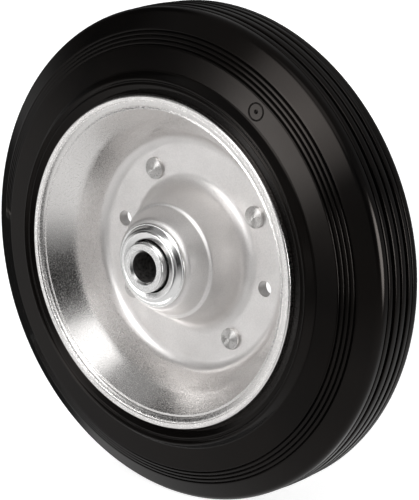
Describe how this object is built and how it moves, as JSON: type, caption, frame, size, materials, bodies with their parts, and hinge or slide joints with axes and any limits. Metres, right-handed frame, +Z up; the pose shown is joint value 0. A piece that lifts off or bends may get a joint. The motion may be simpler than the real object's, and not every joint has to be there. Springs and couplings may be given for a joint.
{
  "type": "replacement wheel",
  "caption": "Solid rubber wheel on a riveted pressed steel rim, with a caged roller bearing and a through sleeve for an axle bolt.",
  "frame": {"origin": "the wheel's centre, on the axle, half way along the sleeve", "axes": "+Y along the axle, +Z up, and the side with the front dust cap faces -Y"},
  "size_m": [0.2, 0.0654, 0.2],
  "materials": {
    "black_rubber": "moulded, half matt",
    "zinc_steel": "zinc plated pressing",
    "rivet_steel": "zinc plated",
    "tube_steel": "ground bore",
    "bright_cap": "bright plated",
    "seal_rubber": "matt",
    "cage_plastic": "moulded",
    "roller_steel": "ground",
    "sleeve_steel": "turned and zinc plated"
  },
  "bodies": {
    "sleeve": {"inner_sleeve": "sleeve_steel"},
    "wheel": {"tyre": "black_rubber", "rim_front": "zinc_steel", "rim_rear": "zinc_steel", "rim_rivets": "rivet_steel", "hub_tube": "tube_steel", "dust_cap_front": "bright_cap", "dust_cap_rear": "bright_cap", "seal_ring_front": "seal_rubber", "seal_ring_rear": "seal_rubber"},
    "cage": {"roller_cage": "cage_plastic"},
    "roller_01": {"roller_01": "roller_steel"},
    "roller_02": {"roller_02": "roller_steel"},
    "roller_03": {"roller_03": "roller_steel"},
    "roller_04": {"roller_04": "roller_steel"},
    "roller_05": {"roller_05": "roller_steel"},
    "roller_06": {"roller_06": "roller_steel"},
    "roller_07": {"roller_07": "roller_steel"},
    "roller_08": {"roller_08": "roller_steel"},
    "roller_09": {"roller_09": "roller_steel"},
    "roller_10": {"roller_10": "roller_steel"},
    "roller_11": {"roller_11": "roller_steel"},
    "roller_12": {"roller_12": "roller_steel"}
  },
  "joints": [
    {"name": "wheel_spin", "type": "hinge", "parent": "sleeve", "child": "wheel", "pos_m": [0, 0, 0], "axis": [0, 1, 0], "continuous": true},
    {"name": "cage_spin", "type": "hinge", "parent": "sleeve", "child": "cage", "pos_m": [0, 0, 0], "axis": [0, 1, 0], "continuous": true},
    {"name": "roller_01_spin", "type": "hinge", "parent": "cage", "child": "roller_01", "pos_m": [0.0118, 0, 0], "axis": [0, 1, 0], "continuous": true},
    {"name": "roller_02_spin", "type": "hinge", "parent": "cage", "child": "roller_02", "pos_m": [0.01022, 0, 0.0059], "axis": [0, 1, 0], "continuous": true},
    {"name": "roller_03_spin", "type": "hinge", "parent": "cage", "child": "roller_03", "pos_m": [0.0059, 0, 0.01022], "axis": [0, 1, 0], "continuous": true},
    {"name": "roller_04_spin", "type": "hinge", "parent": "cage", "child": "roller_04", "pos_m": [0, 0, 0.0118], "axis": [0, 1, 0], "continuous": true},
    {"name": "roller_05_spin", "type": "hinge", "parent": "cage", "child": "roller_05", "pos_m": [-0.0059, 0, 0.01022], "axis": [0, 1, 0], "continuous": true},
    {"name": "roller_06_spin", "type": "hinge", "parent": "cage", "child": "roller_06", "pos_m": [-0.01022, 0, 0.0059], "axis": [0, 1, 0], "continuous": true},
    {"name": "roller_07_spin", "type": "hinge", "parent": "cage", "child": "roller_07", "pos_m": [-0.0118, 0, 0], "axis": [0, 1, 0], "continuous": true},
    {"name": "roller_08_spin", "type": "hinge", "parent": "cage", "child": "roller_08", "pos_m": [-0.01022, 0, -0.0059], "axis": [0, 1, 0], "continuous": true},
    {"name": "roller_09_spin", "type": "hinge", "parent": "cage", "child": "roller_09", "pos_m": [-0.0059, 0, -0.01022], "axis": [0, 1, 0], "continuous": true},
    {"name": "roller_10_spin", "type": "hinge", "parent": "cage", "child": "roller_10", "pos_m": [0, 0, -0.0118], "axis": [0, 1, 0], "continuous": true},
    {"name": "roller_11_spin", "type": "hinge", "parent": "cage", "child": "roller_11", "pos_m": [0.0059, 0, -0.01022], "axis": [0, 1, 0], "continuous": true},
    {"name": "roller_12_spin", "type": "hinge", "parent": "cage", "child": "roller_12", "pos_m": [0.01022, 0, -0.0059], "axis": [0, 1, 0], "continuous": true}
  ],
  "couplings": [
    {"joint": "cage_spin", "follows": "wheel_spin", "ratio": 0.57627},
    {"joint": "roller_01_spin", "follows": "wheel_spin", "ratio": 3.3898},
    {"joint": "roller_02_spin", "follows": "wheel_spin", "ratio": 3.3898},
    {"joint": "roller_03_spin", "follows": "wheel_spin", "ratio": 3.3898},
    {"joint": "roller_04_spin", "follows": "wheel_spin", "ratio": 3.3898},
    {"joint": "roller_05_spin", "follows": "wheel_spin", "ratio": 3.3898},
    {"joint": "roller_06_spin", "follows": "wheel_spin", "ratio": 3.3898},
    {"joint": "roller_07_spin", "follows": "wheel_spin", "ratio": 3.3898},
    {"joint": "roller_08_spin", "follows": "wheel_spin", "ratio": 3.3898},
    {"joint": "roller_09_spin", "follows": "wheel_spin", "ratio": 3.3898},
    {"joint": "roller_10_spin", "follows": "wheel_spin", "ratio": 3.3898},
    {"joint": "roller_11_spin", "follows": "wheel_spin", "ratio": 3.3898},
    {"joint": "roller_12_spin", "follows": "wheel_spin", "ratio": 3.3898}
  ]
}
